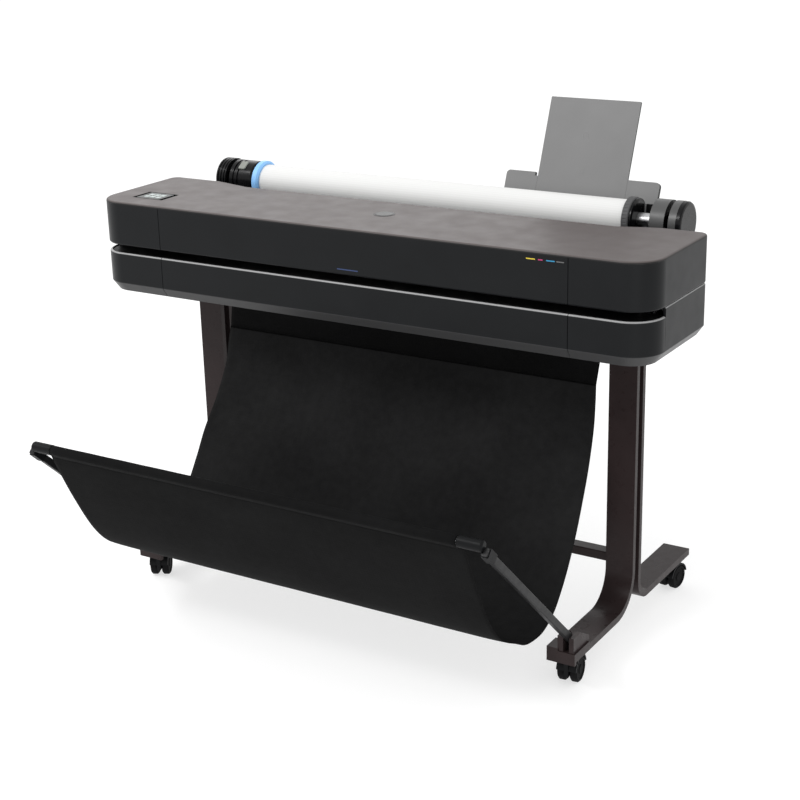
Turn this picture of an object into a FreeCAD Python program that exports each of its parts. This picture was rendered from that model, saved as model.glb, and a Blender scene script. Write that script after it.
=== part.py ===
import FreeCAD, Part
import math
import os
import re

import Sketcher
from FreeCAD import Placement, Rotation, Vector

# A roll-fed large format plotter on a wheeled stand, with a fabric catch bin.
# Millimetres, +X to the plotter's left-hand side as it faces the user's right hand,
# +Y towards the rear, +Z up. The origin is on the floor under the middle of the object.
# Lengths along Y in the formulas below are measured from the front face of the casings.

DIMENSIONS = (
    # casings
    ("front_face", -74.5, "Y of the casings' front face"),
    ("body_width", 1317, "casings, side to side"),
    ("body_depth", 281, "casings, front to rear"),
    ("body_bottom", 660, "underside of the casings above the floor"),
    ("body_top", 862, "top of the lid"),
    ("slot_floor", 748.5, "top edge of the lower front covers"),
    ("lid_bottom", 766, "lower edge of the lid"),
    ("skin", 5, "thickness of casing walls and of the top cover"),
    ("front_radius", 65, "plan radius of the front corners"),
    ("rear_radius", 20, "plan radius of the rear corners"),
    ("chamfer_rise", 20, "height of the chamfer round the underside"),
    ("chamfer_inset", 14, "how far that chamfer cuts in"),
    ("left_seam", -480, "X of the seam between left and middle covers"),
    ("right_seam", 492, "X of the seam between middle and right covers"),
    ("seam_gap", 1.4, "width of the seams"),
    ("cover_depth", 70, "how far the front covers wrap round the corners"),
    ("lid_hinge_rear", 274, "lid hinge axis, behind the front face"),
    ("lid_hinge_up", 846, "lid hinge axis, above the floor"),
    ("door_hinge_rear", 24, "ink door hinge axis, behind the front face"),
    ("door_hinge_up", 665.5, "ink door hinge axis, above the floor"),
    ("deck_up", 771, "top of the rear deck that carries the roll"),
    ("port_bottom", 680, "lower edge of the plate round the rear sockets"),
    # roll and spindle
    ("roll_rear", 398, "spindle axis, behind the front face"),
    ("roll_up", 845, "spindle axis, above the floor"),
    ("roll_radius", 38, "paper roll"),
    ("roll_left", -476, "left end of the paper"),
    ("paper_width", 914, "width of the paper"),
    ("core_radius", 25.4, "inside of the paper roll"),
    ("shaft_radius", 10.5, "spindle shaft"),
    ("neck_radius", 14, "spindle necks that turn in the cradles"),
    ("hub_radius", 46, "hubs and end cap of the spindle"),
    ("ring_radius", 45, "stop ring beside the paper"),
    # sheet feeder
    ("feeder_rear", 444, "feeder pivot, behind the front face"),
    ("feeder_up", 815, "feeder pivot, above the floor"),
    ("feeder_tilt", 22, "lean of the feeder, in degrees"),
    # stand
    ("leg_centre", 517, "X of the leg centres"),
    ("leg_width", 61, "width of the leg blades"),
    ("blade", 12, "thickness of the upright blades"),
    ("blade_rear", 204, "front of the front blades, behind the front face"),
    ("blade_gap", 18, "gap between the front and rear blades"),
    ("foot_bottom", 66, "underside of the feet"),
    ("foot_thick", 15, "thickness of the feet"),
    ("foot_front", -60, "front end of the feet"),
    ("foot_end", 516, "rear end of the feet"),
    ("front_bend", 70, "inner bend radius of the front feet"),
    ("rear_bend", 37, "inner bend radius of the rear feet"),
    # casters
    ("wheel_radius", 27, "caster wheels"),
    ("caster_trail", 24, "from the swivel axis to the axle"),
    ("front_stem", -40, "front caster stems, behind the front face"),
    ("rear_stem", 455, "rear caster stems, behind the front face"),
    ("caster_x", 518, "X of the caster stems"),
    # catch bin
    ("bin_pivot_rear", -38, "bin arm pivot, behind the front face"),
    ("bin_pivot_up", 98, "bin arm pivot, above the floor"),
    ("arm_x", 527.5, "X of the bin arms"),
    ("arm_width", 12, "bin arms, along X"),
    ("arm_depth", 16, "bin arms, front to rear of their section"),
    ("bar_rear", -386, "front bar of the bin, behind the front face"),
    ("bar_up", 436, "front bar of the bin, above the floor"),
    ("bar_radius", 9, "front bar of the bin"),
    ("fabric_half", 470, "half the width of the bin's fabric"),
    ("fabric_thick", 2.5, "the fabric's solid"),
    # paper drive and carriage
    ("roller_rear", 165, "drive roller, behind the front face"),
    ("roller_up", 733, "drive roller, above the floor"),
    ("roller_radius", 14, "drive roller"),
    ("pinch_radius", 9, "pinch rollers"),
    ("pinch_up", 756.6, "pinch rollers, above the floor"),
    ("rod_rear", 110, "carriage rod, behind the front face"),
    ("rod_up", 800, "carriage rod, above the floor"),
    ("rod_radius", 8, "carriage rod"),
    ("pulley_x", 580, "X of the belt pulleys"),
    ("pulley_up", 805, "belt pulleys, above the floor"),
    ("pulley_radius", 9, "belt pulleys"),
    ("running", 0.05, "radial clearance of a running fit"),
)

ALIASES = {alias for alias, value, meaning in DIMENSIONS}

os.makedirs("parts", exist_ok=True)
doc = FreeCAD.newDocument("Plotter")
sheet = doc.addObject("Spreadsheet::Sheet", "Dims")
for row, (alias, value, meaning) in enumerate(DIMENSIONS, 1):
    sheet.set(f"A{row}", meaning)
    sheet.set(f"B{row}", str(value))
    sheet.setAlias(f"B{row}", alias)
doc.recompute()

NODES = []


# ---------------------------------------------------------------- helpers

def fx(formula):
    """A formula in the sheet's aliases, written for the expression engine."""
    return re.sub(
        r"[a-z][a-z_]+",
        lambda word: "Dims." + word.group() if word.group() in ALIASES else word.group(),
        str(formula),
    )


def num(formula):
    """The present value of such a formula."""
    return float(sheet.evalExpression(fx(formula)))


def behind(formula):
    """Y of a distance behind the casings' front face."""
    return f"front_face + ({formula})"


def place(obj, x=0, y=None, z=0, rotation=None):
    """Binds an object's position, and turns it when a rotation is given."""
    if rotation is not None:
        obj.Placement = Placement(Vector(), rotation)
    obj.setExpression("Placement.Base.x", fx(x))
    obj.setExpression("Placement.Base.y", fx(0 if y is None else behind(y)))
    obj.setExpression("Placement.Base.z", fx(z))
    return obj


def keep(label, obj):
    """Names an object as one of the plotter's pieces."""
    obj.Label = label
    NODES.append(obj)
    return obj


def block(label, x0, x1, y0, y1, z0, z1):
    box = doc.addObject("Part::Box", label)
    box.setExpression("Length", fx(f"({x1}) - ({x0})"))
    box.setExpression("Width", fx(f"({y1}) - ({y0})"))
    box.setExpression("Height", fx(f"({z1}) - ({z0})"))
    return place(box, x0, y0, z0)


TURNS = {
    "x": Rotation(Vector(0, 1, 0), 90),
    "y": Rotation(Vector(1, 0, 0), -90),
    "z": Rotation(),
}


def rod(label, axis, radius, length, x, y, z):
    """A cylinder that starts at the point and runs along +axis."""
    bar = doc.addObject("Part::Cylinder", label)
    bar.setExpression("Radius", fx(radius))
    bar.setExpression("Height", fx(length))
    return place(bar, x, y, z, TURNS[axis])


def fuse(label, *solids):
    joined = doc.addObject("Part::MultiFuse", label)
    joined.Shapes = list(solids)
    return joined


def group(label, *solids):
    """Separate solids that share one node."""
    together = doc.addObject("Part::Compound", label)
    together.Links = list(solids)
    return together


def cut(label, base, *tools):
    less = doc.addObject("Part::Cut", label)
    less.Base = base
    less.Tool = tools[0] if len(tools) == 1 else group(label + "_tools", *tools)
    return less


def common(label, base, tool):
    shared = doc.addObject("Part::Common", label)
    shared.Base = base
    shared.Tool = tool
    return shared


def mirrored(label, source):
    """The same solid on the other side of the plotter."""
    twin = doc.addObject("Part::Mirroring", label)
    twin.Source = source
    twin.Normal = Vector(1, 0, 0)
    twin.Base = Vector(0, 0, 0)
    return twin


def copied(label, source, placement):
    """A bound copy of a solid, moved as a whole."""
    twin = doc.addObject("Part::Compound", label)
    twin.Links = [source]
    twin.Placement = placement
    return twin


def eased(label, base, radius, wanted, kind="Part::Fillet"):
    """Rounds the edges that wanted(edge) accepts. radius is a formula, or two of them."""
    doc.recompute()
    sizes = [num(size) for size in (radius if isinstance(radius, tuple) else (radius, radius))]
    softened = doc.addObject(kind, label)
    softened.Base = base
    softened.Edges = [
        (i, *sizes) for i, edge in enumerate(base.Shape.Edges, 1) if wanted(edge)
    ]
    return softened


def near(value, formula, tolerance=0.01):
    return abs(value - num(formula)) < tolerance


def flat_at(height):
    """Tests that an edge lies wholly at one height."""
    return lambda edge: near(edge.BoundBox.ZMin, height) and near(edge.BoundBox.ZMax, height)


def upright(edge):
    box = edge.BoundBox
    return box.XLength < 0.01 and box.YLength < 0.01


def origin_plane(body, role):
    return next(item for item in body.Origin.OriginFeatures if item.Role == role)


def pin_vertex(sketch, edge, kind, axis, formula):
    """Ties one coordinate of an edge's start to the sheet."""
    value = num(formula)
    if abs(value) < 1e-6:
        sketch.addConstraint(Sketcher.Constraint("PointOnObject", edge, 1, axis))
        return
    ends = (-1, 1, edge, 1) if value > 0 else (edge, 1, -1, 1)
    index = sketch.addConstraint(Sketcher.Constraint(kind, *ends, abs(value)))
    bound = formula if value > 0 else f"-({formula})"
    sketch.setExpression(f"Constraints[{index}]", fx(bound))


def outline(body, plane, corners):
    """A closed polygon sketch whose corners are pairs of formulas."""
    sketch = body.newObject("Sketcher::SketchObject", body.Name + "_outline")
    sketch.AttachmentSupport = (origin_plane(body, plane), [""])
    sketch.MapMode = "FlatFace"
    points = [Vector(num(u), num(v), 0) for u, v in corners]
    for start, end in zip(points, points[1:] + points[:1]):
        sketch.addGeometry(Part.LineSegment(start, end))
    for i in range(len(points)):
        sketch.addConstraint(Sketcher.Constraint("Coincident", i, 2, (i + 1) % len(points), 1))
    for i, (u, v) in enumerate(corners):
        pin_vertex(sketch, i, "DistanceX", -2, u)
        pin_vertex(sketch, i, "DistanceY", -1, v)
    return sketch


def padded(label, plane, corners, length, middle=True):
    """A body padded from an outline."""
    body = doc.addObject("PartDesign::Body", label)
    sketch = outline(body, plane, corners)
    pad = body.newObject("PartDesign::Pad", label + "_pad")
    pad.Profile = sketch
    pad.Midplane = middle
    pad.setExpression("Length", fx(length))
    doc.recompute()
    return body


def body_fillet(body, radius, wanted):
    """A PartDesign fillet on the edges of the body's tip that wanted(edge) accepts."""
    tip = body.Tip
    names = [f"Edge{i}" for i, edge in enumerate(tip.Shape.Edges, 1) if wanted(edge)]
    fillet = body.newObject("PartDesign::Fillet", body.Name + "_round")
    fillet.Base = (tip, names)
    fillet.setExpression("Radius", fx(radius))
    doc.recompute()
    return body


def turned(label, corners):
    """A body turned about X from an outline of (x, radius) corners."""
    body = doc.addObject("PartDesign::Body", label)
    sketch = outline(body, "XZ_Plane", corners)
    revolution = body.newObject("PartDesign::Revolution", label + "_turn")
    revolution.Profile = sketch
    revolution.ReferenceAxis = (sketch, ["H_Axis"])
    revolution.Angle = 360
    doc.recompute()
    return body


def straight_edge(*points):
    """Tests for an edge that runs along X through one of these (y, z) points."""
    def test(edge):
        box = edge.BoundBox
        if box.YLength > 0.01 or box.ZLength > 0.01:
            return False
        return any(near(box.YMin, y) and near(box.ZMin, z) for y, z in points)
    return test


def gear(label, module, teeth, width, bore):
    """A spur gear about X, its teeth cut as involutes, starting at x = 0."""
    pressure = math.radians(20)
    pitch = module * teeth / 2
    base = pitch * math.cos(pressure)
    tip = pitch + module
    root = pitch - 1.25 * module
    backlash = 0.03 * module
    half = math.pi / (2 * teeth) - backlash / pitch + math.tan(pressure) - pressure

    def flank(radius):
        roll = math.sqrt(max(radius * radius / (base * base) - 1, 0))
        return half - (roll - math.atan(roll))

    radii = [max(base, root) + (tip - max(base, root)) * k / 4 for k in range(5)]
    points = []
    for tooth in range(teeth):
        centre = 2 * math.pi * tooth / teeth
        rising = [(centre - flank(r), r) for r in radii]
        falling = [(centre + flank(r), r) for r in reversed(radii)]
        foot = flank(radii[0])
        for angle, r in [(centre - foot, root)] + rising + falling + [(centre + foot, root)]:
            points.append(Vector(0, r * math.cos(angle), r * math.sin(angle)))
    rim = Part.Face(Part.makePolygon(points + points[:1]))
    wheel = doc.addObject("Part::Feature", label)
    hole = Part.makeCylinder(bore, width, Vector(), Vector(1, 0, 0))
    wheel.Shape = rim.extrude(Vector(width, 0, 0)).cut(hole)
    return wheel


def ribbon(label, points, thickness, half_width):
    """A sheet of fabric: a smooth line in the YZ plane, thickened and run along X."""
    spots = [Vector(0, num(behind(y)), z) for y, z in points]
    line = Part.BSplineCurve()
    line.interpolate(spots)
    outer = []
    for spot in spots:
        along = line.tangent(line.parameter(spot))[0]
        outer.append(spot + Vector(0, -along.z, along.y) * thickness)
    back = Part.BSplineCurve()
    back.interpolate(outer)
    edges = [
        line.toShape(),
        Part.makeLine(spots[-1], outer[-1]),
        back.toShape(),
        Part.makeLine(outer[0], spots[0]),
    ]
    face = Part.Face(Part.Wire(Part.__sortEdges__(edges)))
    sheet_solid = doc.addObject("Part::Feature", label)
    sheet_solid.Shape = face.extrude(Vector(2 * half_width, 0, 0))
    sheet_solid.Placement = Placement(Vector(-half_width, 0, 0), Rotation())
    return sheet_solid


# ---------------------------------------------------------------- casings

def casing(label, inset, z0, z1):
    """A block with the casings' rounded plan, drawn in by inset all round."""
    edge = f"body_width / 2 - ({inset})"
    plain = block(label + "_block", f"-({edge})", edge, inset, f"body_depth - ({inset})", z0, z1)
    doc.recompute()
    front = num(f"front_radius - ({inset})")
    rear = num(f"rear_radius - ({inset})")
    shaped = doc.addObject("Part::Fillet", label)
    shaped.Base = plain
    shaped.Edges = [
        (i, front, front) if near(corner.BoundBox.YMin, behind(inset)) else (i, rear, rear)
        for i, corner in enumerate(plain.Shape.Edges, 1)
        if upright(corner)
    ]
    return shaped


LEFT = ("-body_width", "left_seam - seam_gap / 2")
MIDDLE = ("left_seam + seam_gap / 2", "right_seam - seam_gap / 2")
RIGHT = ("right_seam + seam_gap / 2", "body_width")


def lower_casing():
    """Tray, front covers and ink door, all cut from one hollow shell."""
    rise = "body_bottom + chamfer_rise"
    under = flat_at("body_bottom")
    outer = eased("lower_outer", casing("lower_plan", 0, "body_bottom", "lid_bottom - 1"),
                  ("chamfer_rise", "chamfer_inset"), under, "Part::Chamfer")
    front_zone = block("front_zone", "-body_width", "body_width", -10, "cover_depth",
                       "body_bottom - 5", "slot_floor")
    rear_zone = block("rear_zone", "-body_width", "body_width", "cover_depth + 0.6",
                      "body_depth + 10", "body_bottom - 5", "body_top")
    hollow = fuse("lower_hollow",
                  casing("hollow_low", "chamfer_inset + 3", "body_bottom + 3", f"{rise} + 1"),
                  casing("hollow_high", "skin", rise, "body_top"))
    front_block = eased("front_rounded", common("front_block", outer, front_zone), 4.2,
                        lambda edge: flat_at("slot_floor")(edge) and not near(
                            edge.BoundBox.YMin, behind("cover_depth")))
    floor_gap = casing("floor_gap", "chamfer_inset + 2.4", "body_bottom - 5", "body_bottom + 3.5")
    front_wall = cut("front_wall", front_block, hollow, floor_gap)
    rear_block = eased("rear_rounded", common("rear_block", outer, rear_zone), 3,
                       lambda edge: flat_at("lid_bottom - 1")(edge) and not near(
                           edge.BoundBox.YMin, behind("cover_depth + 0.6")))
    rear_shell = cut("rear_shell", rear_block, hollow)

    zone = [block("cover_zone", *span, -10, "body_depth", "body_bottom - 5", "body_top")
            for span in (LEFT, MIDDLE, RIGHT)]
    keep("lower_left_cover", common("lower_left", front_wall, zone[0]))
    keep("lower_front_cover", common("lower_middle", front_wall, zone[1]))

    lugs = []
    for x in (510, 585):
        lugs.append(rod("door_lug", "x", 3.4, 10, x, "door_hinge_rear", "door_hinge_up"))
        lugs.append(block("door_lug_arm", x, f"{x} + 10", "chamfer_inset + 1.5",
                          "door_hinge_rear", "door_hinge_up - 3.4", "door_hinge_up + 3.4"))
    bores = [rod("door_bore", "x", "1.5 + running", 12, f"{x} - 1", "door_hinge_rear",
                 "door_hinge_up") for x in (510, 585)]
    door = fuse("door_and_lugs", common("door_wall", front_wall, zone[2]), *lugs)
    keep("ink_door", cut("ink_door", door, *bores))

    floor_plan = casing("floor_plan", "chamfer_inset + 3", "body_bottom", "body_bottom + 3")
    ears, pins, ear_bores = [], [], []
    for x in (510, 585):
        for near_side in (f"{x} - 7", f"{x} + 11"):
            ears.append(block("door_ear", near_side, f"{near_side} + 6",
                              "door_hinge_rear - 3.4", "door_hinge_rear + 36",
                              "body_bottom + 0.5", "door_hinge_up + 3.5"))
        pins.append(rod("door_pin", "x", 1.5, 24, f"{x} - 7", "door_hinge_rear", "door_hinge_up"))
        ear_bores.append(rod("door_ear_bore", "x", 1.5, 26, f"{x} - 8", "door_hinge_rear",
                             "door_hinge_up"))
    door_room = block("door_room", "right_seam", "body_width", 0, "door_hinge_rear + 20",
                      "body_bottom - 5", "body_bottom + 5")
    floor_front = block("floor_front", "-body_width", "body_width", 0, "cover_depth + 1",
                        "body_bottom - 5", "body_bottom + 5")
    front_floor = cut("floor_cut", common("floor_piece", floor_plan, floor_front), door_room)
    shelf = block("cartridge_shelf", 496, 609, 62, 76, "body_bottom + 2", "body_bottom + 12")
    port_room = block("port_room", -552, -318, 250, 290, "port_bottom", "port_bottom + 34")
    tray = fuse("tray_whole", rear_shell, front_floor, shelf, *ears)
    keep("base_tray", cut("base_tray", tray, port_room, *ear_bores))
    plate = block("port_plate_blank", -552, -318, "body_depth - skin", "body_depth",
                  "port_bottom", "port_bottom + 34")
    openings = [
        block("network_hole", -541, -521, 270, 290, "port_bottom + 1.5", "port_bottom + 16.5"),
        block("data_hole", -511, -496, 270, 290, "port_bottom + 1.5", "port_bottom + 14.5"),
        block("inlet_hole", -362, -328, 270, 290, 684, 710),
    ]
    keep("port_plate", cut("port_plate", plate, *openings))
    return pins


def lid():
    """The lid: three upper covers under one top cover, with the control panel in it."""
    low, high = "lid_bottom", "body_top - skin"
    outer = eased("upper_outer", casing("upper_plan", 0, low, high), 4, flat_at(low))
    hollow = casing("upper_hollow", "skin", "lid_bottom - 5", "body_top")
    rear_gap = block("upper_rear_gap", -612, 612, 190, "body_depth + 5", "lid_bottom - 5",
                     "body_top")
    ring = cut("upper_ring", outer, hollow, rear_gap)
    for label, span in (("upper_left_cover", LEFT), ("upper_front_cover", MIDDLE),
                        ("upper_right_cover", RIGHT)):
        zone = block(label + "_zone", *span, -10, "body_depth + 5", "lid_bottom - 5", "body_top")
        keep(label, common(label, ring, zone))

    top = eased("top_rounded", casing("top_plan", 0, high, "body_top"), 4.5, flat_at("body_top"))
    notch = padded("rear_notch", "XY_Plane", (
        (-560, "body_depth + 5"), (-430, "body_depth - 30"), (470, "body_depth - 30"),
        (590, "body_depth + 5")), 40)
    place(notch, 0, 0, "body_top")
    panel_hole = block("panel_hole", -597, -514, 56, 117, "body_top - 10", "body_top + 5")
    lugs, bores = [], []
    for x in (-596, 574):
        lugs.append(rod("lid_lug", "x", 5, 22, x, "lid_hinge_rear", "lid_hinge_up"))
        lugs.append(block("lid_lug_arm", x, f"{x} + 22", "lid_hinge_rear - 5",
                          "lid_hinge_rear + 5", "lid_hinge_up", "body_top - skin + 1"))
        bores.append(rod("lid_bore", "x", "2.5 + running", 24, f"{x} - 1", "lid_hinge_rear",
                         "lid_hinge_up"))
    cover = fuse("top_whole", cut("top_notched", top, notch, panel_hole), *lugs)
    keep("top_cover", cut("top_cover", cover, *bores))

    screen_seat = block("screen_seat", -587, -525, 64, 106, "body_top - 1.5", "body_top + 5")
    panel = block("panel_plate", -597, -514, 56, 117, "body_top - 7", "body_top")
    keep("control_panel", cut("control_panel", panel, screen_seat))
    keep("touch_screen", block("touch_screen", -587, -525, 64, 106, "body_top - 1.5",
                               "body_top + 0.2"))
    return [rod("lid_pin", "x", 2.5, 48, x, "lid_hinge_rear", "lid_hinge_up")
            for x in (-609, 561)]


def rear_cover():
    """Rear wall and roll deck, with the lid's hinge ears and the feeder's posts."""
    wall = block("rear_wall", -611, 611, 262, 267, "deck_up - 2", "lid_hinge_up - 14")
    deck = block("rear_deck", -580, 580, 262, 455, "deck_up - 5", "deck_up")
    pieces = [wall, deck]
    bores = []
    for x in (-609, -572, 561, 598):
        pieces.append(block("lid_ear", x, f"{x} + 11", 262, "lid_hinge_rear + 5",
                            "lid_hinge_up - 22", "lid_hinge_up"))
        pieces.append(rod("lid_ear_top", "x", 5, 11, x, "lid_hinge_rear", "lid_hinge_up"))
        bores.append(rod("lid_ear_bore", "x", 2.5, 13, f"{x} - 1", "lid_hinge_rear",
                         "lid_hinge_up"))
    for x in (118, 454):
        pieces.append(block("feeder_post", x, f"{x} + 12", "feeder_rear - 7", "feeder_rear + 7",
                            "deck_up - 1", "feeder_up"))
        pieces.append(rod("feeder_post_top", "x", 7, 12, x, "feeder_rear", "feeder_up"))
        bores.append(rod("feeder_bore", "x", "4 + running", 14, f"{x} - 1", "feeder_rear",
                         "feeder_up"))
    keep("rear_cover", cut("rear_cover", fuse("rear_whole", *pieces), *bores))


# ---------------------------------------------------------------- roll, spindle and feeder

def roll_and_spindle():
    hub_left, neck_left, neck_right, end = 499, 531, 540, 567
    collar = "roll_left + paper_width + 14.2"
    shaft = turned("spindle_shaft", (
        (-600, 0), (-600, "shaft_radius"), (collar, "shaft_radius"), (collar, 40),
        (f"{collar} + 2", 43), (f"{collar} + 5", 43), (f"{collar} + 7", 38),
        (f"{collar} + 7", 14), (hub_left, 14), (hub_left, "hub_radius - 3"),
        (hub_left + 3, "hub_radius"), (neck_left, "hub_radius"), (neck_left, "neck_radius"),
        (neck_right, "neck_radius"), (neck_right, "hub_radius"), (end - 16, "hub_radius"),
        (end - 14, "hub_radius - 1.5"), (end - 12, "hub_radius"), (end - 4, "hub_radius"),
        (end - 1, "hub_radius - 2"), (end, "hub_radius - 6"), (end, 0)))
    drum_corners = [(-598, "shaft_radius"), (-598, 41), (-594, 46)]
    for x in (-590, -582, -574):
        drum_corners += [(x, 46), (x, 42.5), (x + 3, 42.5), (x + 3, 46)]
    drum_corners += [(-568, 46), (-568, "neck_radius"), (-558, "neck_radius"), (-558, 44)]
    for x in (-549, -537):
        drum_corners += [(x, 44), (x, 41.5), (x + 5, 41.5), (x + 5, 44)]
    drum_corners += [(-500, 44), (-494, 40), (-494, "shaft_radius")]
    drum = turned("spindle_drum", tuple(drum_corners))
    flange = turned("blue_flange", (
        (-494, "shaft_radius"), (-494, 43), (-491, 46), (-480, 46), ("roll_left", 42),
        ("roll_left", "core_radius"), ("roll_left + 30", "core_radius - 1"),
        ("roll_left + 30", "shaft_radius")))
    right = "roll_left + paper_width"
    paper = turned("paper_roll", (
        ("roll_left", "core_radius"), ("roll_left", "roll_radius"), (right, "roll_radius"),
        (right, "core_radius")))
    ring = turned("stop_ring_blank", (
        (f"{right} - 30", "shaft_radius"), (f"{right} - 30", "core_radius - 1"),
        (right, "core_radius"), (right, "ring_radius"), (f"{right} + 12", "ring_radius"),
        (f"{right} + 14", "ring_radius - 2"), (f"{right} + 14", "shaft_radius")))
    flutes = []
    for k in range(36):
        angle = 2 * math.pi * k / 36
        flute = doc.addObject("Part::Cylinder", "stop_ring_flute")
        flute.Radius = 1.5
        flute.Height = 9
        flute.Placement = Placement(
            Vector(num(right) + 2, num("ring_radius + 0.6") * math.cos(angle),
                   num("ring_radius + 0.6") * math.sin(angle)), TURNS["x"])
        flutes.append(flute)
    knurled = cut("stop_ring", ring, *flutes)
    for label, obj in (("spindle_shaft", shaft), ("spindle_drum", drum),
                       ("blue_flange", flange), ("paper_roll", paper), ("stop_ring", knurled)):
        keep(label, place(obj, 0, "roll_rear", "roll_up"))

    cradles = []
    for x in (-566, 532.5):
        plate = block("cradle_plate", x, f"{x} + 6", "roll_rear - 28", "roll_rear + 28",
                      "deck_up", "roll_up + 6")
        foot = block("cradle_foot", f"{x} - 12", f"{x} + 18", "roll_rear - 28",
                     "roll_rear + 28", "deck_up", "deck_up + 4")
        seat = rod("cradle_seat", "x", "neck_radius + 0.3", 8, f"{x} - 1", "roll_rear", "roll_up")
        mouth = block("cradle_mouth", f"{x} - 1", f"{x} + 7", "roll_rear - neck_radius - 0.3",
                      "roll_rear + neck_radius + 0.3", "roll_up", "roll_up + 10")
        cradles.append(cut("cradle", fuse("cradle_whole", plate, foot), seat, mouth))
    back = block("cradle_back", 462, 495, "roll_rear + 28", "roll_rear + 33", "deck_up",
                 "roll_up + 26")
    back_foot = block("cradle_back_foot", 462, 495, "roll_rear + 18", "roll_rear + 33",
                      "deck_up", "deck_up + 4")
    cradles.append(fuse("cradle_back_whole", back, back_foot))
    keep("roll_cradles", group("roll_cradles", *cradles))


def feeder():
    """The sheet feeder, built upright about its pivot and then leaned back."""
    lean = Rotation(Vector(1, 0, 0), -num("feeder_tilt"))

    def local(label, x0, x1, y0, y1, z0, z1):
        box = block(label, x0, x1, 0, 1, z0, z1)
        box.setExpression("Width", fx(f"({y1}) - ({y0})"))
        box.setExpression("Placement.Base.y", fx(y0))
        return box

    def barrel(label, radius, x0, x1):
        bar = rod(label, "x", radius, f"{x1} - {x0}", x0, 0, 0)
        bar.setExpression("Placement.Base.y", "0")
        return bar

    plain = local("feeder_plate", 112, 470, -3, 6, 12, 97)
    plate = eased("feeder_rounded", plain, 9, lambda edge: (
        edge.BoundBox.YLength > 8 and near(edge.BoundBox.ZMin, 97)))
    web = local("feeder_web", 132, 452, -3, 6, 0, 13)
    channel = local("feeder_channel", 187.7, 397.3, -5, 1.3, 9, 120)
    notch = local("feeder_notch", 181, 187.8, -5, 10, 89, 120)
    stubs = [barrel("feeder_barrel", 6, 132, 452), barrel("feeder_pin_left", 4, 118, 132),
             barrel("feeder_pin_right", 4, 452, 466)]
    tray = cut("feeder_tray", fuse("feeder_whole", plate, web, *stubs), channel, notch)
    blade_plain = local("extension_blade", 188, 397, -3, 1, 50, 263)
    extension = eased("extension_rounded", blade_plain, 2, lambda edge: (
        edge.BoundBox.YLength > 3.9 and near(edge.BoundBox.ZMin, 263)))
    lip = local("extension_lip", 190, 395, 1, 5, 257, 261)
    for label, solid in (("sheet_feeder_tray", tray),
                         ("sheet_feeder_extension", fuse("extension", extension, lip))):
        leaned = copied(label, solid, Placement(Vector(), lean))
        keep(label, place(leaned, 0, "feeder_rear", "feeder_up", lean))


# ---------------------------------------------------------------- stand, casters and bin

def stand():
    top = "body_bottom - 5"
    foot_top = "foot_bottom + foot_thick"
    front_back = "blade_rear + blade"
    rear_front = "blade_rear + blade + blade_gap"
    rear_back = "blade_rear + blade_gap + 2 * blade"
    y = behind
    screws, holes = [], []
    for x in ("-leg_centre", "leg_centre"):
        for z in (137, 400, 620):
            holes.append(rod("screw_hole", "y", 3, 40, x, "blade_rear + 6", z))
            shank = rod("screw_shank", "y", 3, f"{rear_back} - {front_back} + 6", x,
                        f"{front_back} - 6", z)
            head = rod("screw_head", "y", 6, 3.5, x, rear_back, z)
            drive = rod("screw_drive", "y", 2.4, 3, x, f"{rear_back} + 1.5", z)
            screws.append(cut("screw", fuse("screw_whole", shank, head), drive))
    for side, x in (("left", "-leg_centre"), ("right", "leg_centre")):
        front = padded(f"{side}_front_blade", "YZ_Plane", (
            (y("foot_front"), "foot_bottom"), (y(front_back), "foot_bottom"),
            (y(front_back), top), (y("blade_rear"), top), (y("blade_rear"), foot_top),
            (y("foot_front"), foot_top)), "leg_width")
        body_fillet(front, "front_bend", straight_edge((y("blade_rear"), foot_top)))
        body_fillet(front, "front_bend + foot_thick",
                    straight_edge((y(front_back), "foot_bottom")))
        rear = padded(f"{side}_rear_blade", "YZ_Plane", (
            (y("foot_end"), "foot_bottom"), (y("foot_end"), foot_top), (y(rear_back), foot_top),
            (y(rear_back), top), (y(rear_front), top), (y(rear_front), "foot_bottom")),
            "leg_width")
        body_fillet(rear, "rear_bend", straight_edge((y(rear_back), foot_top)))
        body_fillet(rear, "rear_bend + blade", straight_edge((y(rear_front), "foot_bottom")))
        for blade in (front, rear):
            blade.setExpression("Placement.Base.x", fx(x))
        spacers = [block("leg_spacer", f"{x} - 14", f"{x} + 14", front_back, rear_front, low,
                         high) for low, high in ((128, 146), (391, 409),
                                                 (608, "body_bottom - 5"))]
        front_stem = rod("front_stem_bore", "z", "5 + running", 13,
                         x.replace("leg_centre", "caster_x"), "front_stem", "foot_bottom - 2")
        rear_stem = rod("rear_stem_bore", "z", "5 + running", 13,
                        x.replace("leg_centre", "caster_x"), "rear_stem", "foot_bottom - 2")
        keep(f"{side}_front_leg", cut(f"{side}_front_leg", front, front_stem, *holes))
        keep(f"{side}_rear_leg", cut(f"{side}_rear_leg", fuse("rear_and_spacers", rear, *spacers),
                                     rear_stem, *holes))
    keep("stand_screws", group("stand_screws", *screws))
    plates = [block("top_plate", f"{x} - 45", f"{x} + 45", "blade_rear - 25",
                    "blade_rear + 67", "body_bottom - 5", "body_bottom")
              for x in ("-leg_centre", "leg_centre")]
    keep("stand_top_plates", group("stand_top_plates", *plates))
    inner = "leg_centre - leg_width / 2"
    bar = block("crossbar", f"-({inner})", inner, "blade_rear + 8", "blade_rear + 38", 159, 179)
    keep("stand_crossbar", eased("stand_crossbar", bar, 2, lambda edge: edge.BoundBox.XLength > 500))


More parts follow.
